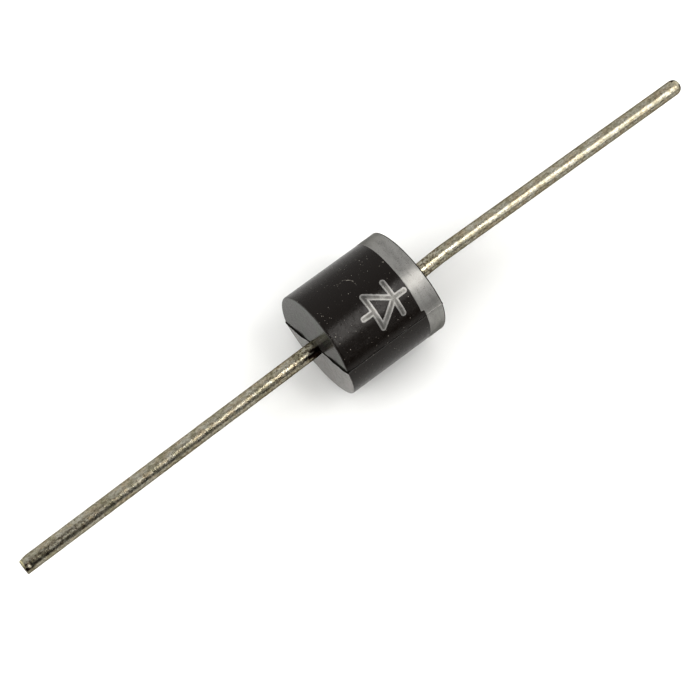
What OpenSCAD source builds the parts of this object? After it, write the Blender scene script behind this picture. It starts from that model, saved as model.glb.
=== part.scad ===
// Axial rectifier diode in a moulded case, lying on its side on a level surface.
// The case's axis is X, with the cathode end at +X, and the origin is the middle of the case on that axis.

/* [Case] */
// Diameter of the moulded case
case_d = 8.6; // [8:0.1:10]
// Length of the case, over the ridges that its two drafted end faces meet at
case_l = 8.8; // [8:0.1:12]
// Draft that each mould half gives the end faces, in degrees
case_draft = 3; // [0.5:0.5:5]
// Roll of the parting plane from level, about the case's axis, in degrees
parting_roll = 30; // [0:5:90]
// Width of the flash left along the parting plane
flash_w = 0.16; // [0.06:0.02:0.3]
// How far the flash stands out of the case
flash_h = 0.04; // [0.02:0.01:0.1]

/* [Cathode band] */
// Width of the printed band, up to the ridge of the cathode end
band_w = 1.8; // [1:0.1:2.4]
// How much narrower the band is past its seam
band_step = 0.26; // [0.1:0.02:0.5]
// Where the narrow stretch starts: degrees from straight up, towards -Y
band_seam = 52; // [0:1:90]
// How far round the narrow stretch runs, in degrees
band_narrow_arc = 110; // [30:10:170]
// Thickness of the ink
ink_t = 0.02; // [0.02:0.01:0.05]

/* [Leads] */
// Diameter of the plated wire
lead_d = 1.2; // [0.8:0.05:1.4]
// Free length of each lead, from the ridge of its end of the case
lead_free = 26.4; // [10:0.1:40]
// Lean of the anode lead from the case's axis, in degrees
anode_lean = 0.7; // [0:0.1:2]
// Lean of the cathode lead from the case's axis, in degrees
cathode_lean = 0.5; // [0:0.1:2]
// Side that both leads lean to: degrees below level, towards -Y
lean_side = 18.5; // [0:0.5:90]
// Depth of the slope that the shears pressed into the anode tip
shear_depth = 0.12; // [0.05:0.01:0.2]
// Length of that slope
shear_l = 0.7; // [0.4:0.1:1.5]
// Rounding of the tumbled cathode tip
tip_round = 0.35; // [0.1:0.05:0.38]

/* [Lead anchors inside the case] */
// Diameter of the upset head
head_d = 4.6; // [4.4:0.1:5]
// Thickness of the upset head
head_t = 0.9; // [0.7:0.1:1.2]
// Diameter of the neck where it meets the head
neck_d = 2; // [1.5:0.1:2.4]
// Step between the neck and the wire at the mouth of the case
neck_step = 0.02; // [0.02:0.01:0.05]
// Depth of the neck's end below the ridge of the case
neck_depth = 0.05; // [0.02:0.01:0.1]

/* [Junction] */
// Side of the square silicon die
die_side = 3; // [2.4:0.1:3]
// Thickness of the die
die_t = 0.3; // [0.2:0.02:0.4]
// Diameter of the solder on each face of the die
solder_d = 2.8; // [1.6:0.1:2.8]
// Thickness of the solder on each face of the die
solder_t = 0.08; // [0.04:0.01:0.12]
// Radius of the coating's bead round the rims of the heads
bead_r = 0.65; // [0.4:0.05:0.65]

/* [Hidden] */
$fn = 96;

ridge_x = case_l / 2;
neck_x = ridge_x - neck_depth;       // where the neck ends and the bare wire starts
head_x = die_t / 2 + solder_t;       // the face of each head that the solder wets
wire_l = lead_free + neck_depth;
wire_root = 1;                       // how far the wire runs back inside the neck
past = 1;                            // how far a cutting shape runs past what it cuts
black = [0.13, 0.12, 0.11];
silver = [0.62, 0.62, 0.6];
tin = [0.68, 0.65, 0.56];

// A rod round the case's axis, from x0 to x1.
module rod(d, x0, x1) {
    translate([x0, 0, 0]) rotate([0, 90, 0]) cylinder(d = d, h = x1 - x0);
}

// A solid of revolution round the case's axis, from an outline of [radius, x] points.
module turned() {
    rotate([0, 90, 0]) rotate_extrude() children();
}

// Turns the mould's own frame, with its parting plane level, to where the case lies.
module in_mould() {
    rotate([-parting_roll, 0, 0]) children();
}

// ---- Case ----

// The shape between the drafted end faces: its outline is in the plane of X and the mould's draw.
module drafted_block() {
    reach = case_d / 2 + past;
    rise = reach * tan(case_draft);
    translate([0, reach, 0]) rotate([90, 0, 0]) linear_extrude(2 * reach)
        polygon([[-ridge_x, 0], [rise - ridge_x, reach], [ridge_x - rise, reach],
                 [ridge_x, 0], [ridge_x - rise, -reach], [rise - ridge_x, -reach]]);
}

// The flash: a thin plate on the parting plane that stands out all round the case.
module flash_plate(grow = 0) {
    intersection() {
        rod(case_d + 2 * (flash_h + grow), -ridge_x - flash_h, ridge_x + flash_h);
        translate([-case_l, -case_d, -flash_w / 2 - grow])
            cube([2 * case_l, 2 * case_d, flash_w + 2 * grow]);
    }
}

// The outside of the case, with nothing taken out of it.
module case_block() {
    in_mould() {
        intersection() {
            rod(case_d, -case_l, case_l);
            drafted_block();
        }
        flash_plate();
    }
}

// What the epoxy is moulded round: both leads and the coated junction, as one shape.
module insert() {
    turned() {
        anchor_outline();
        mirror([0, 1]) anchor_outline();
        bead_outline();
    }
    lean(cathode_lean) rod(lead_d, -wire_root, wire_l);
    mirror([1, 0, 0]) lean(anode_lean) rod(lead_d, -wire_root, wire_l);
}

module epoxy_case() {
    color(black) difference() {
        case_block();
        insert();
    }
}

// ---- Cathode band ----

// The ink wraps the case and its flash, up to the cathode end, and is narrower past its seam.
module cathode_band() {
    x0 = ridge_x - band_w;
    color(silver) difference() {
        in_mould() intersection() {
            union() {
                rod(case_d + 2 * ink_t, x0, ridge_x);
                flash_plate(grow = ink_t);
            }
            drafted_block();
            rod(2 * case_d, x0, ridge_x);
        }
        case_block();
        rotate([90 + band_seam, 0, 0]) narrow_cut(x0);
    }
}

// What the seam takes off the band's inner edge, from +Y round towards +Z.
module narrow_cut(x0) {
    rotate([0, 90, 0]) rotate([0, 0, 90]) rotate_extrude(angle = band_narrow_arc)
        translate([case_d / 4, x0 - past]) square([case_d, past + band_step]);
}

// ---- Leads ----

// The upset head and the neck behind it, as [radius, x].
module anchor_outline() {
    head_back = head_x + head_t;
    polygon([[0, head_x], [head_d / 2, head_x], [head_d / 2, head_back],
             [neck_d / 2, head_back], [lead_d / 2 + neck_step, neck_x], [0, neck_x]]);
}

// Places a wire that is drawn from 0 along +X so that it leaves its neck with a lean.
module lean(angle) {
    translate([neck_x, 0, 0]) rotate([lean_side, 0, 0]) rotate([0, 0, -angle]) children();
}

// Sheared square, with the slope that the blade pressed into the side away from the lean.
module sheared_wire() {
    difference() {
        rod(lead_d, -wire_root, wire_l);
        translate([wire_l - shear_l, lead_d / 2, -lead_d]) rotate([0, 0, -atan(shear_depth / shear_l)])
            cube([2 * shear_l, lead_d, 2 * lead_d]);
    }
}

// Rounded all round its tip.
module rounded_wire() {
    straight = wire_l - tip_round;
    turned() {
        translate([0, -wire_root]) square([lead_d / 2, straight + wire_root]);
        translate([0, straight]) square([lead_d / 2 - tip_round, tip_round]);
        intersection() {
            translate([lead_d / 2 - tip_round, straight]) circle(tip_round);
            translate([lead_d / 2 - tip_round, straight]) square(tip_round);
        }
    }
}

module anode_lead() {
    color(tin) mirror([1, 0, 0]) {
        turned() anchor_outline();
        lean(anode_lean) sheared_wire();
    }
}

module cathode_lead() {
    color(tin) {
        turned() anchor_outline();
        lean(cathode_lean) rounded_wire();
    }
}

// ---- Junction ----

module silicon_die() {
    color([0.35, 0.37, 0.42]) cube([die_t, die_side, die_side], center = true);
}

module solder() {
    rod(solder_d, die_t / 2, head_x);
}

module cathode_solder() {
    color([0.72, 0.73, 0.75]) solder();
}

module anode_solder() {
    color([0.72, 0.73, 0.75]) mirror([1, 0, 0]) solder();
}

// The coating fills the gap between the heads and swells over their rims, as [radius, x].
module bead_outline() {
    difference() {
        union() {
            translate([0, -head_x]) square([head_d / 2, 2 * head_x]);
            translate([head_d / 2, 0]) circle(bead_r);
        }
        translate([0, head_x]) square([head_d / 2, bead_r]);
        translate([0, -head_x - bead_r]) square([head_d / 2, bead_r]);
    }
}

module junction_coating() {
    color([0.9, 0.88, 0.84]) difference() {
        turned() bead_outline();
        silicon_die();
        solder();
        mirror([1, 0, 0]) solder();
    }
}

epoxy_case();
cathode_band();
anode_lead();
cathode_lead();
silicon_die();
anode_solder();
cathode_solder();
junction_coating();
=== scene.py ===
import math

import bmesh
import bpy
import numpy as np
from mathutils import Matrix, Vector, noise


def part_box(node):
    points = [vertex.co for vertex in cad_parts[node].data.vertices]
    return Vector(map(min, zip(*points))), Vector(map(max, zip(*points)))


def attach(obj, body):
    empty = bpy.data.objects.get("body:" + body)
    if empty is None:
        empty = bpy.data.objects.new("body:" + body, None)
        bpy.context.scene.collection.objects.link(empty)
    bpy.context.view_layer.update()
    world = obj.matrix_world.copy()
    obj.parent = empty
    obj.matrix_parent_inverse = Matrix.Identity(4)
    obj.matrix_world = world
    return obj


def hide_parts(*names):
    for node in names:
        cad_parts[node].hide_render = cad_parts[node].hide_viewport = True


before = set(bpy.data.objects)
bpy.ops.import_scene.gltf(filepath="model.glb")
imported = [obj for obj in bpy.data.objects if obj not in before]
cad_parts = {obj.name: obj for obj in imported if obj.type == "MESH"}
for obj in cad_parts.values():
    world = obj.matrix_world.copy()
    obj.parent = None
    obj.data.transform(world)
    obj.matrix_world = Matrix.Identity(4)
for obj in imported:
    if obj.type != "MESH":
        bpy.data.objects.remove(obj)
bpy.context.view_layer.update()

scene = bpy.context.scene
scene.view_settings.view_transform = "Standard"
scene.view_settings.gamma = 0.7             # holds both the black case and the white floor

# An axial rectifier diode: a moulded case with a printed band and polarity sign, and a tinned wire at each
# end. Lengths are in millimetres until a mesh is made, and MM turns them into metres.
# The case's axis is X. Angles round it are in degrees from straight up, towards -Y.
MM = 0.001


def node_mm(name):
    low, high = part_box(name)
    return np.array(low) / MM, np.array(high) / MM


# ---- Sizes, from the frame ----

case_low, case_high = node_mm("epoxy_case")
band_low, band_high = node_mm("cathode_band")
anode_low, _ = node_mm("anode_lead")
cathode_low, cathode_high = node_mm("cathode_lead")
_, coat_high = node_mm("junction_coating")

FLASH_H = 0.04                              # how far the flash stands out
FLASH_W = 0.16                              # its width
RIDGE_X = case_high[0] - FLASH_H            # where the two drafted faces of an end meet
CASE_R = -case_low[2]
DRAFT = math.tan(math.radians(3))
PARTING = 60.0                              # the angle of the parting line that shows best
INK_T = band_high[2] - CASE_R
NECK_X = RIDGE_X - 0.05                     # where a lead's neck ends and its bare wire starts
HEAD_X = cathode_low[0]                     # the inner face of a lead's upset head
HEAD_R = cathode_high[2]
HEAD_T = 0.9
NECK_R = 1.0
BEAD_R = coat_high[0]
WIRE_R = 0.6
MOUTH_R = WIRE_R + 0.004                    # the hole that the wire leaves the case by
FLARE_R = WIRE_R + 0.02                     # the same hole at the end of the neck
FLOOR_Z = band_low[2]

# ---- Camera ----

AZIMUTH, ELEVATION = math.radians(-38.53), math.radians(67.33)
CAMERA_DISTANCE = 161.7
AIM_RIGHT, AIM_UP = -0.978, -2.723          # where the middle of the view is, from the case's middle
SENSOR, LENS = 36, 113.1
CLIP_NEAR, CLIP_FAR = 0.005, 5              # in metres

camera_back = Vector((math.sin(AZIMUTH) * math.cos(ELEVATION),
                      -math.cos(AZIMUTH) * math.cos(ELEVATION), math.sin(ELEVATION)))
camera_right = Vector((math.cos(AZIMUTH), math.sin(AZIMUTH), 0))
camera_up = camera_back.cross(camera_right)
aim = camera_right * AIM_RIGHT + camera_up * AIM_UP

camera = bpy.data.objects.new("camera", bpy.data.cameras.new("camera"))
camera.data.sensor_width = SENSOR
camera.data.lens = LENS
camera.data.clip_start, camera.data.clip_end = CLIP_NEAR, CLIP_FAR
camera.location = (aim + camera_back * CAMERA_DISTANCE) * MM
camera.rotation_mode = "QUATERNION"
camera.rotation_quaternion = (-camera_back).to_track_quat("-Z", "Y")
scene.collection.objects.link(camera)
scene.camera = camera

# ---- Mesh tools ----


def smooth_step(low, high, x):
    """0 before low and 1 past high, with a smooth rise between; low may be the greater."""
    t = np.clip((x - low) / (high - low), 0, 1)
    return t * t * (3 - 2 * t)


def window(x, low, high, soft):
    """1 between low and high, fading to 0 over soft outside them."""
    return smooth_step(low - soft, low, x) * (1 - smooth_step(high, high + soft, x))


def rough(points, size, seed):
    """Smooth noise from about -1 to 1 at each point, with bumps about size across."""
    shift = Vector((seed, seed * 1.7, -seed))
    flat = points.reshape(-1, 3) / size
    return np.array([noise.noise(Vector(p) + shift) for p in flat]).reshape(points.shape[:-1])


def on_case(x, radius, angle):
    """Points at a place along the case's axis, a radius and an angle round it."""
    a = np.radians(angle)
    return np.stack(np.broadcast_arrays(x, -radius * np.sin(a), radius * np.cos(a)), -1)


def new_object(name, vertices, faces, materials, picks=None, sharp=35):
    """A smooth-shaded mesh from points in millimetres, with edges over sharp degrees kept sharp."""
    mesh = bpy.data.meshes.new(name)
    mesh.from_pydata((np.asarray(vertices) * MM).tolist(), [], faces)
    for material in materials:
        mesh.materials.append(material)
    if picks is not None:
        mesh.polygons.foreach_set("material_index", picks)
    mesh.polygons.foreach_set("use_smooth", [True] * len(mesh.polygons))
    mesh.set_sharp_from_angle(angle=math.radians(sharp))
    mesh.validate()
    obj = bpy.data.objects.new(name, mesh)
    scene.collection.objects.link(obj)
    return obj


def add_attribute(obj, name, values):
    """A number at each vertex, which a material can read."""
    layer = obj.data.attributes.new(name, "FLOAT", "POINT")
    layer.data.foreach_set("value", np.asarray(values, dtype=np.float32).ravel())


def ring_faces(rows, columns, close_rows=False):
    """Quads between rows of points that each run all the way round."""
    last = rows if close_rows else rows - 1
    faces = []
    for i in range(last):
        a, b = i * columns, (i + 1) % rows * columns
        for j in range(columns):
            k = (j + 1) % columns
            faces.append((a + j, a + k, b + k, b + j))
    return faces


def face_outwards(obj):
    bm = bmesh.new()
    bm.from_mesh(obj.data)
    bmesh.ops.recalc_face_normals(bm, faces=bm.faces)
    bm.to_mesh(obj.data)
    bm.free()


# ---- Material tools ----


def node_kit(name):
    """A new material with its shader and a texture space in millimetres."""
    material = bpy.data.materials.new(name)
    material.use_nodes = True
    tree = material.node_tree
    shader = tree.nodes["Principled BSDF"]
    place = tree.nodes.new("ShaderNodeTexCoord")
    scale = tree.nodes.new("ShaderNodeVectorMath")
    scale.operation = "SCALE"
    scale.inputs["Scale"].default_value = 1 / MM
    tree.links.new(place.outputs["Object"], scale.inputs[0])
    return material, tree, shader, scale.outputs[0]


def vectors(tree, operation, a, b=None):
    """Vector maths on a and b; b is a socket or three numbers. LENGTH and DOT_PRODUCT give a number."""
    node = tree.nodes.new("ShaderNodeVectorMath")
    node.operation = operation
    tree.links.new(a, node.inputs[0])
    if isinstance(b, bpy.types.NodeSocket):
        tree.links.new(b, node.inputs[1])
    elif b is not None:
        node.inputs[1].default_value = b
    return node.outputs["Value" if operation in ("LENGTH", "DOT_PRODUCT") else "Vector"]


def noise_of(tree, vector, size, detail=4.0, roughness=0.55):
    """Noise with patches about size millimetres across."""
    node = tree.nodes.new("ShaderNodeTexNoise")
    node.inputs["Scale"].default_value = 1 / size
    node.inputs["Detail"].default_value = detail
    node.inputs["Roughness"].default_value = roughness
    tree.links.new(vector, node.inputs["Vector"])
    return node.outputs["Fac"]


def spots_of(tree, vector, spacing, radius, seed):
    """1 in small round spots about spacing apart, and 0 between them."""
    node = tree.nodes.new("ShaderNodeTexVoronoi")
    node.voronoi_dimensions = "4D"
    node.inputs["W"].default_value = seed
    node.inputs["Scale"].default_value = 1 / spacing
    tree.links.new(vector, node.inputs["Vector"])
    return ramp(tree, node.outputs["Distance"], radius / spacing, 0.6 * radius / spacing)


def ramp(tree, value, start, end, low=0.0, high=1.0):
    """Takes value from start..end to low..high, held at both ends."""
    node = tree.nodes.new("ShaderNodeMapRange")
    node.interpolation_type = "SMOOTHSTEP"
    for socket, number in (("From Min", start), ("From Max", end), ("To Min", low), ("To Max", high)):
        node.inputs[socket].default_value = number
    tree.links.new(value, node.inputs["Value"])
    return node.outputs["Result"]


def maths(tree, operation, a, b=0.0):
    node = tree.nodes.new("ShaderNodeMath")
    node.operation = operation
    for socket, value in zip(node.inputs, (a, b)):
        if isinstance(value, (int, float)):
            socket.default_value = value
        else:
            tree.links.new(value, socket)
    return node.outputs[0]


def times(tree, a, b):
    return maths(tree, "MULTIPLY", a, b)


def blend(tree, factor, a, b):
    """Colour a where factor is 0 and b where it is 1."""
    node = tree.nodes.new("ShaderNodeMix")
    node.data_type = "RGBA"
    tree.links.new(factor, node.inputs["Factor"])
    for socket, value in ((node.inputs["A"], a), (node.inputs["B"], b)):
        if isinstance(value, tuple):
            socket.default_value = (*value, 1)
        else:
            tree.links.new(value, socket)
    return node.outputs["Result"]


def bump(tree, shader, height, distance):
    """Raises the surface by distance millimetres where height is 1."""
    node = tree.nodes.new("ShaderNodeBump")
    node.inputs["Distance"].default_value = distance * MM
    tree.links.new(height, node.inputs["Height"])
    tree.links.new(node.outputs["Normal"], shader.inputs["Normal"])


def attribute(tree, name):
    node = tree.nodes.new("ShaderNodeAttribute")
    node.attribute_name = name
    return node.outputs["Fac"]


# ---- The case's materials ----

FLECK = (0.36, 0.34, 0.30)
# Paler grey for the anode rim, and a painted highlight where it is put on the crest of the side's flash
PALE_RIM_AND_CREST_HIGHLIGHT = (0.035, 0.033, 0.030)
# Painted reflection on the anode end: a grey film that makes the face lighter below the parting line, and
# faintly above it
LOWER_REFLECTION_GREEN, LOWER_REFLECTION_ROSY = (0.106, 0.112, 0.104), (0.130, 0.118, 0.114)      # below the parting line
UPPER_REFLECTION_GREY, UPPER_REFLECTION_DARK = (0.030, 0.030, 0.030), (0.024, 0.031, 0.025)       # above it
SCUFF_X, SCUFF_ANGLE, SCUFF_RADIUS, SCUFF_W = -0.87, -11.8, 0.86, 0.035
SCUFF_UPHILL = (0.6, 0.8, 0.0)              # the side of the scuff's middle that its arc is on


def scuff(tree, mm):
    """1 on the broken arc scratched on the case's upper side, and 0 off it."""
    middle = on_case(SCUFF_X, CASE_R, SCUFF_ANGLE).tolist()
    offset = vectors(tree, "SUBTRACT", mm, middle)
    wobble = times(tree, noise_of(tree, mm, 0.4, detail=2), 0.35)
    reach = maths(tree, "ADD", vectors(tree, "LENGTH", offset), wobble)
    gap = maths(tree, "ABSOLUTE", maths(tree, "SUBTRACT", reach, SCUFF_RADIUS))
    upper = ramp(tree, vectors(tree, "DOT_PRODUCT", offset, SCUFF_UPHILL), 0.1, 0.25)
    broken = ramp(tree, noise_of(tree, mm, 0.13, detail=3), 0.44, 0.56)
    return times(tree, times(tree, ramp(tree, gap, SCUFF_W, 0.3 * SCUFF_W), upper), broken)


def film_with_painted_reflection(tree, mm, painted_reflection_strength):
    """A thin grey film, blotched green and rose, that paints reflected light on the face: strong below the
    parting line, and weak above it.
    """
    def film(colour):
        return tuple(part * painted_reflection_strength for part in colour)

    blotch = ramp(tree, noise_of(tree, mm, 0.8, detail=4), 0.32, 0.68)
    lower = blend(tree, blotch, film(LOWER_REFLECTION_GREEN), film(LOWER_REFLECTION_ROSY))
    patch = ramp(tree, noise_of(tree, mm, 1.3, detail=4), 0.42, 0.62)
    upper = blend(tree, patch, film(UPPER_REFLECTION_GREY), film(UPPER_REFLECTION_DARK))
    above = vectors(tree, "DOT_PRODUCT", mm, on_case(0.0, 1.0, PARTING - 90).tolist())
    return blend(tree, ramp(tree, above, -0.05, 0.05), lower, upper)


def epoxy(name, rough_low, rough_high, ior, flecks, painted_reflection_strength=0.0):
    """Black moulding compound: a fine grain, cloudy gloss, pale flecks of filler, a thin grey film of painted
    reflection, and a paler grey that paints a highlight on the flash's crest and marks the anode rim.
    """
    material, tree, shader, mm = node_kit(name)
    clouds = noise_of(tree, mm, 1.1, detail=5)
    black = blend(tree, clouds, (0.0060, 0.0030, 0.0012), (0.0092, 0.0056, 0.0032))
    # painted reflection: the grey film lightens the end faces
    colour = vectors(tree, "ADD", black, film_with_painted_reflection(tree, mm, painted_reflection_strength))
    # painted highlight: the crest of the side's flash is made paler grey, and so is the anode rim in broken
    # patches
    colour = blend(tree, attribute(tree, "pale_rim_and_crest_highlight"), colour, PALE_RIM_AND_CREST_HIGHLIGHT)
    for spacing, radius, seed in ((0.29, 0.050, 0.0), (0.16, 0.031, 3.0)):
        dust = spots_of(tree, mm, spacing, radius, seed)
        where = ramp(tree, noise_of(tree, mm, 0.3 + 0.1 * seed, detail=1), 0.41, 0.52, 0, 0.8 * flecks)
        colour = blend(tree, times(tree, dust, where), colour, FLECK)
    colour = blend(tree, times(tree, scuff(tree, mm), 0.7 * flecks), colour, FLECK)
    tree.links.new(colour, shader.inputs["Base Color"])
    gloss = ramp(tree, noise_of(tree, mm, 0.35, detail=6, roughness=0.65), 0.3, 0.7, rough_low, rough_high)
    tree.links.new(gloss, shader.inputs["Roughness"])
    shader.inputs["IOR"].default_value = ior
    bump(tree, shader, noise_of(tree, mm, 0.06, detail=3), 0.0035)
    return material


def broken_flash():
    """The rough black edge that is left where the flash broke off."""
    material, tree, shader, mm = node_kit("broken_flash")
    torn = noise_of(tree, mm, 0.09, detail=5, roughness=0.7)
    colour = blend(tree, torn, (0.002, 0.0015, 0.001), (0.012, 0.011, 0.009))
    tree.links.new(colour, shader.inputs["Base Color"])
    shader.inputs["Roughness"].default_value = 0.8
    shader.inputs["Specular IOR Level"].default_value = 0.02
    bump(tree, shader, torn, 0.02)
    return material


# ---- The ink's, the wires' and the inner pieces' materials ----

INK_LOW, INK_HIGH = (0.28, 0.275, 0.264), (0.38, 0.374, 0.36)
INK_SHEEN = (0.25, 0.25, 0.24, 1)


def silver_ink(name, has_depth, dull_low, dull_high):
    """Silver ink: fine metal flakes, thin in places, and for strokes a thinner middle."""
    material, tree, shader, mm = node_kit(name)
    flakes = noise_of(tree, mm, 0.07, detail=3)
    cloudy = noise_of(tree, vectors(tree, "MULTIPLY", mm, (1.0, 0.35, 0.35)), 0.5, detail=4)
    if has_depth:
        middle = ramp(tree, attribute(tree, "ink_depth"), 0.35, 0.75)
        thin = times(tree, middle, ramp(tree, cloudy, 0.3, 0.6, 0.5, 1))
    else:
        thin = ramp(tree, cloudy, 0.42, 0.68, 0, 0.7)
    bright, dull = blend(tree, flakes, INK_LOW, INK_HIGH), blend(tree, flakes, dull_low, dull_high)
    tree.links.new(blend(tree, thin, bright, dull), shader.inputs["Base Color"])
    tree.links.new(ramp(tree, flakes, 0.3, 0.7, 0.27, 0.38), shader.inputs["Roughness"])
    shader.inputs["Metallic"].default_value = 0.75
    shader.inputs["Specular IOR Level"].default_value = 0.15
    shader.inputs["Specular Tint"].default_value = INK_SHEEN
    bump(tree, shader, flakes, 0.006)
    return material


# Colours of the tinned wire, each as its darker and its paler grains.
CLEAN_TIN = (0.405, 0.385, 0.325), (0.56, 0.545, 0.475)
STRAW_TIN = (0.355, 0.31, 0.23), (0.52, 0.47, 0.37)
OLIVE_TIN = (0.27, 0.25, 0.18), (0.44, 0.42, 0.325)
# Freshly cut metal, also used to paint a glint on the anode tip
FRESH_CUT_AND_GLINT = (0.56, 0.50, 0.30), (0.92, 0.88, 0.66)
BURNT_TIN = (0.006, 0.003, 0.003), (0.075, 0.043, 0.032)
# The tarnish and mottle tones are also painted on the wires as shade
TARNISH_AND_SHADE, MOTTLE_AND_SHADE, SPECK = (0.125, 0.105, 0.072), (0.115, 0.09, 0.06), (0.10, 0.065, 0.035)
TIN_SHEEN = (0.26, 0.245, 0.21, 1)


def tinned_copper(name, seed, rough_low, rough_high, stain, grain):
    """Tin plating gone dull: blotches of grey, straw and olive, brown specks and tarnish, burnt marks,
    painted shade and a painted glint.

    It reads from attributes where a wire is tarnished, aged, freshly cut and burnt, and where shade and a
    glint are painted on it.
    """
    material, tree, shader, mm = node_kit(name)
    place = vectors(tree, "ADD", mm, (seed, seed, seed))
    blotch = noise_of(tree, place, 0.9, detail=5, roughness=0.6)
    tint = noise_of(tree, vectors(tree, "MULTIPLY", place, (0.6, 1, 1)), 0.45, detail=4)
    fine = noise_of(tree, vectors(tree, "MULTIPLY", place, (0.5, 1, 1)), 0.12, detail=4, roughness=0.65)
    cells = ramp(tree, fine, 0.36, 0.62)
    clean, straw = blend(tree, cells, *CLEAN_TIN), blend(tree, cells, *STRAW_TIN)
    coat = blend(tree, ramp(tree, tint, 0.42, 0.62), clean, straw)
    coat = blend(tree, ramp(tree, blotch, 0.45, 0.62, 0, stain), coat, blend(tree, cells, *OLIVE_TIN))
    # tarnish, and painted shade on the wire's low side, its top edge and the streak near the anode tip
    tarnish_and_shade = times(tree, attribute(tree, "tarnish_and_shade"), ramp(tree, fine, 0.3, 0.55, 1, 0.35))
    coat = blend(tree, tarnish_and_shade, coat, TARNISH_AND_SHADE)
    mottled = ramp(tree, noise_of(tree, place, 0.17, detail=3), 0.50, 0.62)
    # mottling near the root, and painted shade on the streak near the anode tip
    coat = blend(tree, times(tree, times(tree, attribute(tree, "aged_and_shade"), mottled), 0.9), coat, MOTTLE_AND_SHADE)
    specks = spots_of(tree, place, 0.55, 0.06, seed)
    coat = blend(tree, times(tree, specks, 0.6), coat, SPECK)
    # fresh-cut ends, and a painted highlight at the glint spot
    coat = blend(tree, attribute(tree, "cut_and_glint"), coat, blend(tree, fine, *FRESH_CUT_AND_GLINT))
    burnt = maths(tree, "ADD", attribute(tree, "burnt"), times(tree, fine, 0.9))
    coat = blend(tree, ramp(tree, burnt, 0.88, 1.08), coat, blend(tree, fine, *BURNT_TIN))
    tree.links.new(coat, shader.inputs["Base Color"])
    shader.inputs["Metallic"].default_value = 1
    shader.inputs["Specular Tint"].default_value = TIN_SHEEN
    dull = ramp(tree, noise_of(tree, place, 0.3, detail=5), 0.32, 0.68, rough_low, rough_high)
    tree.links.new(dull, shader.inputs["Roughness"])
    bump(tree, shader, fine, grain)
    return material


def plain_grained(name, low, high, size, roughness, metallic=0.0):
    """A simple finish for the pieces sealed inside the case."""
    material, tree, shader, mm = node_kit(name)
    grain = noise_of(tree, mm, size)
    tree.links.new(blend(tree, grain, low, high), shader.inputs["Base Color"])
    shader.inputs["Roughness"].default_value = roughness
    shader.inputs["Metallic"].default_value = metallic
    bump(tree, shader, grain, 0.01)
    return material


# ---- Case ----

RIM = 0.085                                 # rounding of the case's rims
GROWN_FROM, GROWN_TO = 1.3, 2.1             # the radii over which the anode end's flash grows
GROWN_TALL, GROWN_WIDE = 1.5, 0.75          # by how much more it then stands out and spreads
RAGGED_SIZE, BROKEN_SIZE = 0.35, 0.13       # the long and the short breaks in the flash's edge
FLASH_TYPICAL, FLASH_LEAST = 0.72, 0.1      # its height between the breaks and in them, as shares of the most
TORN_ON_END, TORN_ON_SIDE = 0.12, 0.4       # how much flash a face has before it is finished as torn
RIM_TURN = 0.8                              # the tilt, in radians, where the end's finish stops on a rim
SIDE, END, TORN = 0, 1, 2                   # the case's finishes


def ring_angles():
    """Angles from the parting line, all the way round, set close together where the flash runs."""
    fine, coarse, near = 40, 120, 9.0
    half = np.concatenate([np.linspace(0, near, fine, endpoint=False),
                           np.linspace(near, 180 - near, coarse, endpoint=False),
                           np.linspace(180 - near, 180, fine, endpoint=False)])
    return np.concatenate([half, half + 180])


AROUND = ring_angles()


def flash_profile(height_from_parting, spread):
    """1 on the flash and 0 off it."""
    return 1 - smooth_step(0.55, 1.1, np.abs(height_from_parting) / (FLASH_W / 2) / spread)


def moulded_skin(points):
    """The slight wave of the case's surface, which the band printed on it follows."""
    return 0.004 * rough(points, 1.6, seed=3)


def face_x(radius, from_parting):
    """How far along X an end's drafted face lies."""
    return RIDGE_X - DRAFT * np.abs(radius * np.sin(np.radians(from_parting)))


def end_rows(side, count=44, rim_steps=4):
    """Rows of one end of the case, from the lead's mouth to the rim: x, radius, outward push."""
    rows = []
    for r in np.linspace(MOUTH_R, CASE_R - RIM, count):
        rows.append((side * face_x(r, AROUND), np.full_like(AROUND, r), (side, 0.0)))
    for b in np.linspace(0, math.pi / 2, rim_steps + 1)[1:]:
        x = face_x(CASE_R, AROUND) - RIM * (1 - math.cos(b))
        r = np.full_like(AROUND, CASE_R - RIM * (1 - math.sin(b)))
        rows.append((side * x, r, (side * math.cos(b), math.sin(b))))
    return rows


def side_rows(count=66):
    rows = []
    for k in np.linspace(0, 1, count + 2)[1:-1]:
        reach = face_x(CASE_R, AROUND) - RIM
        rows.append(((2 * k - 1) * reach, np.full_like(AROUND, CASE_R), (0.0, 1.0)))
    return rows


def cavity_rows(bead_steps=6):
    """The hollow that the leads and the coated junction fill, from the cathode mouth to the anode mouth."""
    outline = [(NECK_X, MOUTH_R), (NECK_X, FLARE_R), (HEAD_X + HEAD_T, NECK_R),
               (HEAD_X + HEAD_T, HEAD_R), (BEAD_R, HEAD_R)]
    outline += [(BEAD_R * math.sin(g), HEAD_R + BEAD_R * math.cos(g))
                for g in np.linspace(math.pi / 2, 0, bead_steps + 1)[1:]]
    outline += [(-x, r) for x, r in reversed(outline[:-1])]
    return [(np.full_like(AROUND, x), np.full_like(AROUND, r), (0.0, 0.0)) for x, r in outline]


def finishes(push, on_flash):
    """The finish of each face, from how its rows are pushed out and where the flash is."""
    middle = (push + np.roll(push, -1, axis=0)) / 2
    round_rim = np.arctan2(middle[:, 1], np.abs(middle[:, 0]))
    on_far_rim = middle[:, 0] > 0.01
    picks = np.where(round_rim < RIM_TURN, END, np.where(on_far_rim, TORN, SIDE))
    picks[~push.any(axis=1)] = SIDE
    picks = np.repeat(picks[:, None], on_flash.shape[1], axis=1)
    picks[on_flash & np.roll(on_flash, -1, axis=1)] = TORN
    return picks.ravel()


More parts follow.
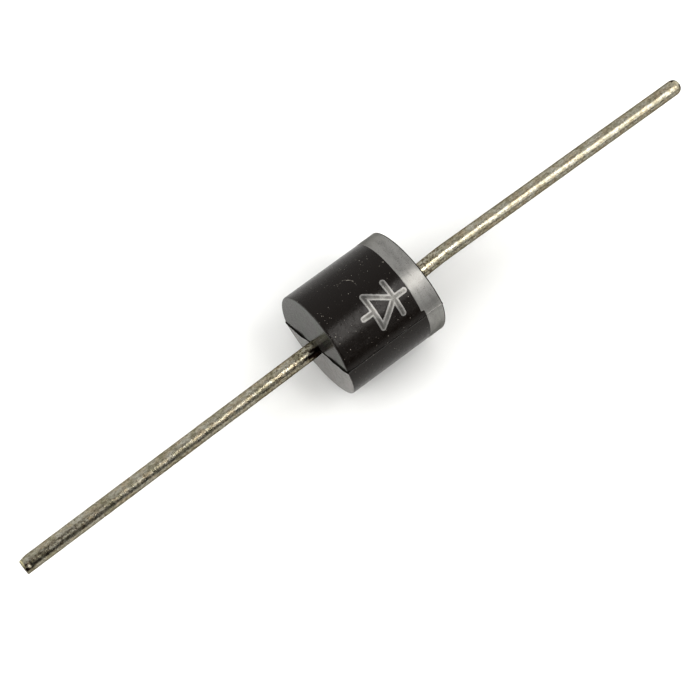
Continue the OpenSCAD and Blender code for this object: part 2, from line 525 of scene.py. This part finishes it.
def flash_on_case(flat, r, push):
    """Where the flash is, from 0 to 1, and how far it stands out: more on most of the anode end."""
    ragged = rough(flat * np.array([1, 0.4, 0.4]), RAGGED_SIZE, seed=20)
    broken = rough(flat, BROKEN_SIZE, seed=31)
    grown = smooth_step(GROWN_FROM, GROWN_TO, r) * (push[:, :1] < 0)
    tall = FLASH_H * (1 + GROWN_TALL * grown * (1 - smooth_step(CASE_R - 0.6, CASE_R - 0.1, r)))
    spread = 1 + 0.3 * ragged + GROWN_WIDE * grown
    flash = flash_profile(r * np.sin(np.radians(AROUND))[None, :], spread)
    return flash, np.clip(FLASH_TYPICAL + 0.35 * ragged + 0.3 * broken, FLASH_LEAST, 1) * tall


def case_piece():
    """The moulded case: drafted halves, rounded rims, a ragged flash line and a slightly uneven skin."""
    outside = end_rows(-1) + side_rows() + end_rows(1)[::-1]
    rows = outside + cavity_rows()
    x, r, push = (np.array([row[k] for row in rows]) for k in range(3))
    flat = on_case(x, r, PARTING + AROUND[None, :])
    flash, height = flash_on_case(flat, r, push)
    lift = moulded_skin(flat) + 0.0012 * rough(flat, 0.35, seed=8) + height * flash
    lift[len(outside):] = 0
    lift = lift * smooth_step(WIRE_R, WIRE_R + 0.25, r)
    x, r = x + lift * push[:, :1], r + lift * push[:, 1:]
    vertices = on_case(x, r, PARTING + AROUND[None, :]).reshape(-1, 3)
    on_end = np.abs(push[:, :1]) > 0.5
    lower_edge = (AROUND % 180 > 90)[None, :]
    on_flash = (flash > np.where(on_end, TORN_ON_END, TORN_ON_SIDE)) & (on_end | lower_edge)
    on_flash[len(outside):] = False
    materials = [epoxy("epoxy_side", rough_low=0.19, rough_high=0.29, ior=1.5, flecks=1.0),
                 epoxy("epoxy_end", rough_low=0.15, rough_high=0.24, ior=1.55, flecks=0.3, painted_reflection_strength=1.0),
                 broken_flash()]
    case = new_object("moulded_case", vertices, ring_faces(*x.shape, close_rows=True), materials,
                      finishes(push, on_flash), sharp=30)
    # Painted highlight along the crest of the flash on the side; the anode rim is paler grey in broken
    # patches
    painted_ridge_highlight = smooth_step(0.75, 0.95, flash) * ((push[:, 1:] > 0.99) & ~lower_edge)
    anode_rim = push[:, :1] * push[:, 1:] < -0.3
    pale_rim = 0.9 * smooth_step(-0.1, 0.35, rough(flat, 0.28, seed=50)) * anode_rim
    add_attribute(case, "pale_rim_and_crest_highlight", np.maximum(painted_ridge_highlight, pale_rim))
    face_outwards(case)
    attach(case, "root")
    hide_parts("epoxy_case")


# ---- Printed band ----

BAND_X = band_low[0]
BAND_SEAM, BAND_NARROW_ARC = 52.0, 110.0    # where its ends meet, and the arc from there that is narrower
BAND_STEP = 0.26                            # by how much it is narrower
SEAM_SOFT = 1.6                             # the degrees that the step takes
BAND_UNDER = 0.03                           # how far its closed underside is sunk in the case
EDGE_T = 0.006                              # the ink's thickness at its edges
EDGE_SOFT = 0.012                           # the share of its width over which it thickens


def band_edge(angle):
    """The band's inner edge along X, with its step at the seam and a slightly wandering line."""
    past_seam = (angle - BAND_SEAM) % 360
    narrow = smooth_step(0, SEAM_SOFT, past_seam)
    narrow = narrow * (1 - smooth_step(0, SEAM_SOFT, past_seam - BAND_NARROW_ARC))
    rim = on_case(np.full_like(angle, BAND_X), CASE_R, angle)
    wander = 0.012 * rough(rim, 0.5, seed=5) + 0.006 * rough(rim, 0.12, seed=7)
    return BAND_X + 0.012 + BAND_STEP * narrow + wander


def band_piece():
    """Silver ink wrapped round the case and over its flash, with a soft edge and a step at its seam."""
    edge_steps = np.array([0, EDGE_SOFT / 3, EDGE_SOFT])
    across = np.concatenate([edge_steps, np.linspace(0.03, 0.97, 22), 1 - edge_steps[::-1]])
    angle = PARTING + AROUND
    inner = band_edge(angle)
    outer = face_x(CASE_R, AROUND) - RIM
    x = inner[None, :] + (outer - inner)[None, :] * across[:, None]
    edge = smooth_step(0, EDGE_SOFT, across) * (1 - smooth_step(1 - EDGE_SOFT, 1, across))
    base = on_case(x, CASE_R, angle[None, :])
    thick = (INK_T - 0.008) * edge[:, None] * (1 + 0.2 * rough(base, 0.3, seed=9))
    over_flash = flash_profile(CASE_R * np.sin(np.radians(AROUND)), 1.25) * FLASH_H * 0.8
    radius = CASE_R + EDGE_T + thick + moulded_skin(base) + over_flash[None, :]
    top = on_case(x, radius, angle[None, :])
    under = on_case(x, CASE_R - BAND_UNDER, angle[None, :])
    vertices = np.concatenate([top, under[::-1]]).reshape(-1, 3)
    faces = ring_faces(2 * len(across), len(angle), close_rows=True)
    ink = silver_ink("band_ink", False, dull_low=(0.19, 0.187, 0.18), dull_high=(0.32, 0.315, 0.303))
    band = new_object("cathode_band_print", vertices, faces, [ink], sharp=50)
    face_outwards(band)
    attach(band, "root")
    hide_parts("cathode_band")


# ---- Printed polarity sign ----

SIGN_X, SIGN_ANGLE = 0.45, 24.0             # its middle
SIGN_HALF_W = 1.35                          # half the height of its triangle and bar
SIGN_TIP = 0.92                             # from its middle to the bar
SIGN_LINE = 1.85                            # from its middle to the end of its line
STROKE = 0.24                               # half a stroke's width
SIGN_GRID = 0.03                            # the spacing of the points that it is trimmed from
SIGN_MARGIN = 0.3                           # and how far they go past its strokes
SIGN_EDGE_T, SIGN_RISE = 0.004, 0.014       # the thickness at its edges, and the rise towards its middle
SIGN_UNDER = 0.02                           # how far its closed underside is sunk in the case


def sign_strokes():
    """The diode sign's strokes, as (along the case, round it): a triangle against a bar, on a line."""
    corner, low_corner = (-SIGN_TIP, SIGN_HALF_W), (-SIGN_TIP, -SIGN_HALF_W)
    tip = (SIGN_TIP, 0.0)
    return [((-SIGN_LINE, 0.0), (-SIGN_TIP, 0.0)), (corner, low_corner), (corner, tip), (low_corner, tip),
            ((SIGN_TIP, SIGN_HALF_W), (SIGN_TIP, -SIGN_HALF_W)), (tip, (SIGN_LINE, 0.0))]


def inside_strokes(points):
    """How far each point lies inside the nearest stroke; negative outside."""
    best = np.full(points.shape[:-1], -9.0)
    for a, b in sign_strokes():
        a, b = np.array(a), np.array(b)
        along = np.clip(((points - a) @ (b - a)) / ((b - a) @ (b - a)), 0, 1)
        gap = np.linalg.norm(points - a - along[..., None] * (b - a), axis=-1)
        best = np.maximum(best, STROKE - gap)
    return best


def sign_grid():
    """Each grid point's depth inside the strokes, its place once moved to their edge, and the kept cells."""
    u = np.arange(-SIGN_LINE - SIGN_MARGIN, SIGN_LINE + SIGN_MARGIN, SIGN_GRID)
    v = np.arange(-SIGN_HALF_W - SIGN_MARGIN, SIGN_HALF_W + SIGN_MARGIN, SIGN_GRID)
    grid = np.stack(np.meshgrid(u, v, indexing="ij"), -1)
    lumpy = 0.018 * rough(np.concatenate([grid, grid[..., :1] * 0], -1), 0.16, seed=40)
    depth = inside_strokes(grid) + lumpy
    slope = np.stack(np.gradient(depth, SIGN_GRID), -1)
    steep = np.maximum(np.linalg.norm(slope, axis=-1, keepdims=True), 0.5)
    near = (np.abs(depth) < SIGN_GRID)[..., None]
    moved = np.where(near, grid - depth[..., None] * slope / steep ** 2, grid)
    centre = (depth[:-1, :-1] + depth[1:, :-1] + depth[:-1, 1:] + depth[1:, 1:]) / 4
    return depth, moved, centre > 0


def closed_skin_faces(kept, number, count):
    """The top, the underside and the walls of a skin, from its kept cells and its points' numbers."""
    faces = []
    for i, j in zip(*np.nonzero(kept)):
        a, b, c, d = (int(number[i + di, j + dj]) for di, dj in ((0, 0), (1, 0), (1, 1), (0, 1)))
        faces.append((a, b, c, d))
        faces.append((d + count, c + count, b + count, a + count))
        for di, dj, p, q in ((0, -1, a, b), (1, 0, b, c), (0, 1, c, d), (-1, 0, d, a)):
            if not kept[i + di, j + dj]:
                faces.append((p, p + count, q + count, q))
    return faces


def sign_piece():
    """The sign's ink as a thin closed skin on the case, trimmed from a fine grid to the strokes' edges."""
    depth, moved, kept = sign_grid()
    used = np.zeros(depth.shape, dtype=bool)
    for du in (0, 1):
        for dv in (0, 1):
            used[du:du + kept.shape[0], dv:dv + kept.shape[1]] |= kept
    number = np.cumsum(used).reshape(used.shape) - 1
    angle = SIGN_ANGLE + np.degrees(moved[..., 1] / CASE_R)
    lift = SIGN_RISE * smooth_step(-0.01, 0.05, depth)
    top = on_case(SIGN_X + moved[..., 0], CASE_R + SIGN_EDGE_T + lift, angle)[used]
    under = on_case(SIGN_X + moved[..., 0], CASE_R - SIGN_UNDER, angle)[used]
    ink = silver_ink("sign_ink", True, dull_low=(0.045, 0.043, 0.04), dull_high=(0.23, 0.226, 0.215))
    sign = new_object("polarity_sign", np.concatenate([top, under]),
                      closed_skin_faces(kept, number, int(used.sum())), [ink], sharp=60)
    add_attribute(sign, "ink_depth", np.tile((depth / STROKE)[used], 2))
    face_outwards(sign)
    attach(sign, "root")


# ---- Leads ----

LEAN_SIDE = 18.5                            # both leads lean this far below level, towards -Y
LEAD_SIDES = 72
LONG_STEP, TIP_STEP, TIP_FINE = 0.1, 0.04, 0.9      # ring spacing along a wire, and in its last TIP_FINE
BEND_L = 3.5                                # over how much of its length a wire takes up its bend
SHEAR_DEPTH, SHEAR_L = 0.12, 0.7            # the slope that the cutter left on the anode tip
PIT_BACK, PIT_Y, PIT_R, PIT_DEPTH = 0.5, -0.2, 0.3, 0.10       # and the dent it left behind the cut
TIP_ROUND, TIP_REACH = 0.42, 0.56           # the cathode tip's rounded rim, across and along
CUT_STREAKS, STREAK_H = 34, 0.008           # the streaks across both cuts: radians a millimetre, and height
STAIN_L = 3.2                               # how far the burnt stain can reach from the case
PATCH_L, GLINT_LOW = 0.68, 0.56             # the anode tip's dark patch, and the bright spot at its end


def lean_matrix(side, lean):
    """From a wire drawn along +X from 0 to where it leaves its neck, leaning."""
    turn = Matrix.Rotation(math.radians(LEAN_SIDE), 3, "X") @ Matrix.Rotation(-math.radians(lean), 3, "Z")
    mirror = Matrix.Diagonal((side, 1, 1))
    return np.array(mirror @ turn), np.array([side * NECK_X, 0, 0])


def root_stain(x, low, turn):
    """The burnt stain where the anode wire leaves the case, with a tail along its low side.

    Also gives the ragged noise that breaks up its edge.
    """
    ragged = rough(np.stack(np.broadcast_arrays(x, np.cos(turn), np.sin(turn)), -1), 0.3, seed=60)
    mouth = smooth_step(0.95, 0.45, x - 0.3 * ragged) * smooth_step(0.40, 0.54, low + 0.08 * ragged)
    tail = np.clip(1.1 - x / 2.4, 0, 1) * np.exp(-((low - 0.74) / 0.18) ** 2)
    torn = 0.35 * ragged * smooth_step(3.0, 1.0, x)
    return np.clip(np.maximum(mouth, tail) + torn, 0, 1) * (x < STAIN_L), ragged


def anode_marks(marks, x, to_end, low, turn):
    """Adds the stain at the root and, at the tip, a dark patch, a painted glint and a long streak of painted
    shade.
    """
    stain, ragged = root_stain(x, low, turn)
    patch = window(low, 0.48, 0.80, 0.08) * smooth_step(PATCH_L, 0.56, to_end)
    core = window(low, 0.56, 0.72, 0.08) * window(to_end, 0.2, 0.45, 0.12)
    corner = smooth_step(0.64, 0.74, low) * smooth_step(0.3, 0.12, to_end)
    glint = smooth_step(0.10, 0.05, np.hypot(to_end - PATCH_L, 2 * WIRE_R * (low - GLINT_LOW)))
    dark = patch * (0.56 - 0.22 * core + 0.3 * corner + 0.25 * ragged) * (1 - glint)
    # Painted shade: a dark streak down the middle and low side of the wire near the anode tip
    streak = window(low, 0.40, 0.78, 0.14) * smooth_step(9.0, 5.0, to_end)
    marks["burnt"] = np.maximum(stain, dark)
    marks["tarnish_and_shade"] = np.maximum(marks["tarnish_and_shade"], np.maximum(0.6 * streak, 0.75 * patch))
    marks["aged_and_shade"] = np.maximum(marks["aged_and_shade"], 0.8 * streak)
    # Painted highlight: the glint spot gets the pale colour of fresh-cut metal
    marks["cut_and_glint"] = np.maximum(marks["cut_and_glint"], glint)


def cathode_marks(marks, to_end, low):
    """Adds the dark marks on the top and the corner of the rounded tip."""
    top = smooth_step(0.26, 0.10, low) * window(to_end, 0.06, 0.52, 0.14)
    corner = smooth_step(0.42, 0.56, low) * smooth_step(0.40, 0.24, to_end)
    marks["burnt"] = np.maximum(0.68 * top, 0.60 * corner)


def lead_marks(along, turn, length, side):
    """How burnt, tarnished, freshly cut and aged each point of a wire is, from 0 to 1, and where shade and a
    glint are painted on it.
    """
    low = 0.5 - 0.5 * np.cos(turn)[None, :]         # 1 on the side towards -Y and down, 0 opposite
    x, to_end = along[:, None], length - along[:, None]
    # Painted shade: the tarnish tone darkens the wire's low side and its top edge
    marks = {"tarnish_and_shade": 0.55 * smooth_step(0.68, 0.84, low) + 0.5 * smooth_step(0.13, 0.03, low),
             "cut_and_glint": smooth_step(0.15, 0.06, to_end) * (1 - smooth_step(0.6, 0.8, low)),
             "aged_and_shade": 0.25 + 0.75 * (1 - smooth_step(0.5, 7.0, x))}
    if side < 0:
        anode_marks(marks, x, to_end, low, turn)
    else:
        cathode_marks(marks, to_end, low)
    return {mark: values + 0 * x * low for mark, values in marks.items()}


def wire_stations(length):
    """Places along a wire for its rings, closer together near the tip."""
    return np.concatenate([[0, 0.02], np.arange(LONG_STEP, length - TIP_FINE, LONG_STEP),
                           np.arange(length - TIP_FINE, length - 0.05, TIP_STEP)])


def with_tip(along, length, edge, cut_radii):
    """Along and radius of a wire: its wall, then its edge as (along, radius), then rings on the cut face."""
    end = edge + [(length, r) for r in cut_radii]
    return (np.concatenate([along, [a for a, _ in end]]),
            np.concatenate([np.full_like(along, WIRE_R), [r for _, r in end]]))


def sheared_tip(length):
    """A square tip with a small edge."""
    edge = [(length - 0.03, WIRE_R), (length - 0.008, WIRE_R - 0.008), (length, WIRE_R - 0.03)]
    return with_tip(wire_stations(length), length, edge, (0.5, 0.4, 0.3, 0.2, 0.1, 0.03))


def rounded_tip(length, steps=9):
    """A tip with a rounded rim."""
    along = wire_stations(length)
    along = along[along < length - TIP_REACH]
    curve = [(length - TIP_REACH + TIP_REACH * math.sin(b), WIRE_R - TIP_ROUND + TIP_ROUND * math.cos(b))
             for b in np.linspace(0, math.pi / 2, steps + 1)]
    return with_tip(along, length, curve, (0.14, 0.08, 0.03))


def tip_details(wire, length, side):
    """The cutter's slope and dent on the anode tip, and the streaks of both cuts."""
    if side < 0:
        to_tip = wire[..., 0] - (length - SHEAR_L)
        roof = WIRE_R - SHEAR_DEPTH * np.clip(to_tip / SHEAR_L, 0, 1) ** 1.6
        wire[..., 1] = np.minimum(wire[..., 1], roof)
        pit = np.array([length - PIT_BACK, PIT_Y, WIRE_R])
        gap = np.linalg.norm(wire - pit, axis=-1, keepdims=True)
        wire[..., 1:] *= 1 - PIT_DEPTH * smooth_step(PIT_R, 0.0, gap)
    at_end = smooth_step(length - 0.1, length - 0.02, wire[..., 0])
    streak = np.sin(wire[..., 1] * CUT_STREAKS + 1.5 * np.sin(wire[..., 2] * 5)) * STREAK_H
    wire[..., 0] -= at_end * (0.012 + streak)
    return wire


def lead_piece(name, node, side, lean, length, shape_tip, material, lumps, bend, dip):
    """One drawn wire: its upset head and neck inside the case, and the bare wire outside.

    lumps lists the unevenness of the tinning, as (amount, size, stretch, seed). bend is how far the wire
    steps sideways past the case, and dip is how much thicker the tinning makes it.
    """
    turn = np.radians(np.linspace(0, 360, LEAD_SIDES, endpoint=False))
    circle = np.stack([np.zeros_like(turn), np.cos(turn), np.sin(turn)], -1)
    anchor = [(HEAD_X, 0.001), (HEAD_X, HEAD_R), (HEAD_X + HEAD_T, HEAD_R), (HEAD_X + HEAD_T, NECK_R),
              (NECK_X, FLARE_R)]
    inside = np.array([circle * r + np.array([x, 0, 0]) for x, r in anchor]) * np.array([side, 1, 1])
    along, radius = shape_tip(length)
    wire = circle[None] * radius[:, None, None]
    wire[..., 0] += along[:, None]
    uneven = sum(amount * rough(wire * np.array(stretch), size, seed)
                 for amount, size, stretch, seed in lumps)
    on_wall = np.minimum(1, radius / WIRE_R)
    shown = (smooth_step(0.0, 0.15, along) * on_wall)[:, None]
    coat = (dip * smooth_step(0.05, 0.4, along) * on_wall)[:, None]
    wire[..., 1:] *= (1 + (uneven * shown + coat) / WIRE_R)[..., None]
    marks = lead_marks(along, turn, length, side)
    wire = tip_details(wire, length, side)
    wire[..., 1] += bend * smooth_step(0, BEND_L, along)[:, None]
    matrix, root = lean_matrix(side, lean)
    rings = np.concatenate([inside, wire @ matrix.T + root])
    faces = ring_faces(len(rings), LEAD_SIDES)
    faces.append(tuple(range(LEAD_SIDES)))
    faces.append(tuple(range((len(rings) - 1) * LEAD_SIDES, len(rings) * LEAD_SIDES)))
    lead = new_object(name, rings.reshape(-1, 3), faces, [material], sharp=40)
    for mark, values in marks.items():
        add_attribute(lead, mark, np.concatenate([np.zeros(inside.shape[:2]), values]))
    face_outwards(lead)
    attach(lead, "root")
    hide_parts(node)


# ---- Build ----


def repaint(node, material):
    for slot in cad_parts[node].material_slots:
        slot.material = material


case_piece()
band_piece()
sign_piece()
lead_piece("anode_wire", "anode_lead", side=-1, lean=0.7, length=-anode_low[0] - NECK_X,
           shape_tip=sheared_tip, bend=0.0, dip=0.024,
           material=tinned_copper("tin_anode", seed=11.0, rough_low=0.21, rough_high=0.34, stain=0.9,
                                  grain=0.011),
           lumps=[(0.010, 0.45, (0.6, 1, 1), 2), (0.0035, 0.16, (0.8, 1, 1), 4),
                  (0.006, 1.6, (0.5, 1, 1), 6)])
lead_piece("cathode_wire", "cathode_lead", side=1, lean=0.5, length=cathode_high[0] - NECK_X + 0.13,
           shape_tip=rounded_tip, bend=0.14, dip=0.006,
           material=tinned_copper("tin_cathode", seed=47.0, rough_low=0.25, rough_high=0.36, stain=0.6,
                                  grain=0.004),
           lumps=[(0.005, 0.6, (0.5, 1, 1), 12), (0.002, 0.18, (0.6, 1, 1), 14),
                  (0.008, 2.2, (0.5, 1, 1), 16)])

repaint("silicon_die", plain_grained("silicon", (0.08, 0.085, 0.1), (0.14, 0.15, 0.17),
                                     size=0.4, roughness=0.2, metallic=0.6))
solder = plain_grained("solder", (0.42, 0.43, 0.44), (0.6, 0.61, 0.62),
                       size=0.3, roughness=0.35, metallic=1.0)
repaint("anode_solder", solder)
repaint("cathode_solder", solder)
repaint("junction_coating", plain_grained("silicone", (0.78, 0.76, 0.70), (0.88, 0.87, 0.83),
                                          size=0.5, roughness=0.45))

# ---- Floor and light, in metres ----

FLOOR_HALF = 0.6
PAPER_LOW, PAPER_HIGH = (0.74, 0.74, 0.73), (0.77, 0.77, 0.76)
WHITE, WARM = (1.0, 1.0, 1.0), (1.0, 0.985, 0.96)


def floor_piece():
    half, z = FLOOR_HALF, FLOOR_Z * MM
    mesh = bpy.data.meshes.new("floor")
    corners = [(-half, -half, z), (half, -half, z), (half, half, z), (-half, half, z)]
    mesh.from_pydata(corners, [], [(0, 1, 2, 3)])
    material, tree, shader, mm = node_kit("floor_paper")
    tree.links.new(blend(tree, noise_of(tree, mm, 6), PAPER_LOW, PAPER_HIGH), shader.inputs["Base Color"])
    shader.inputs["Roughness"].default_value = 0.9
    shader.inputs["Specular IOR Level"].default_value = 0.1
    mesh.materials.append(material)
    floor = bpy.data.objects.new("floor", mesh)
    scene.collection.objects.link(floor)


def soft_box(name, turn, tilt, distance, x_from, x_to, height, radiance, colour, in_gloss=True):
    """A rectangular soft light facing the case, tilted from straight up towards -Y, then turned round Z."""
    face = Matrix.Rotation(math.radians(turn), 4, "Z") @ Matrix.Rotation(math.radians(tilt), 4, "X")
    data = bpy.data.lights.new(name, "AREA")
    data.shape = "RECTANGLE"
    data.size, data.size_y = x_to - x_from, height
    data.energy = radiance * (x_to - x_from) * height * math.pi
    data.color = colour
    light = bpy.data.objects.new(name, data)
    light.matrix_world = face @ Matrix.Translation(((x_from + x_to) / 2, 0, distance))
    light.visible_camera = False
    light.visible_glossy = in_gloss
    scene.collection.objects.link(light)


def wash(name, turn, tilt, distance, half_width, height, radiance):
    """A broad light that fills the shadows and leaves no highlight."""
    soft_box(name, turn, tilt, distance, -half_width, half_width, height, radiance, WHITE, in_gloss=False)


def room_light(dim, pale, ends):
    """Soft light from all round: dim low in front, pale behind, and bright past both leads."""
    world = bpy.data.worlds.new("room")
    world.use_nodes = True
    tree = world.node_tree
    background = tree.nodes["Background"]
    place = tree.nodes.new("ShaderNodeTexCoord")
    parts = tree.nodes.new("ShaderNodeSeparateXYZ")
    tree.links.new(place.outputs["Generated"], parts.inputs[0])
    wall = ramp(tree, parts.outputs["Y"], -0.90, 0.80, dim, pale)
    lamps = ramp(tree, maths(tree, "ABSOLUTE", parts.outputs["X"]), 0.58, 0.80, 0, ends)
    background.inputs["Color"].default_value = (1, 1, 1, 1)
    tree.links.new(maths(tree, "ADD", wall, lamps), background.inputs["Strength"])
    scene.world = world


floor_piece()
soft_box("key", turn=0, tilt=24, distance=0.6, x_from=0.130, x_to=0.205, height=0.36, radiance=6.3,
         colour=WARM)
soft_box("near_key", turn=0, tilt=42, distance=0.6, x_from=0.05, x_to=0.11, height=0.34, radiance=0.60,
         colour=WHITE)
soft_box("far_key", turn=0, tilt=42, distance=0.6, x_from=0.220, x_to=0.50, height=0.80, radiance=2.6,
         colour=WHITE)
wash("top_wash", turn=0, tilt=5, distance=0.9, half_width=0.6, height=1.2, radiance=0.45)
wash("left_wash", turn=-90, tilt=62, distance=0.7, half_width=0.5, height=0.6, radiance=2.2)
wash("front_wash", turn=0, tilt=64, distance=0.7, half_width=0.5, height=0.6, radiance=1.0)
room_light(dim=0.15, pale=1.02, ends=1.1)
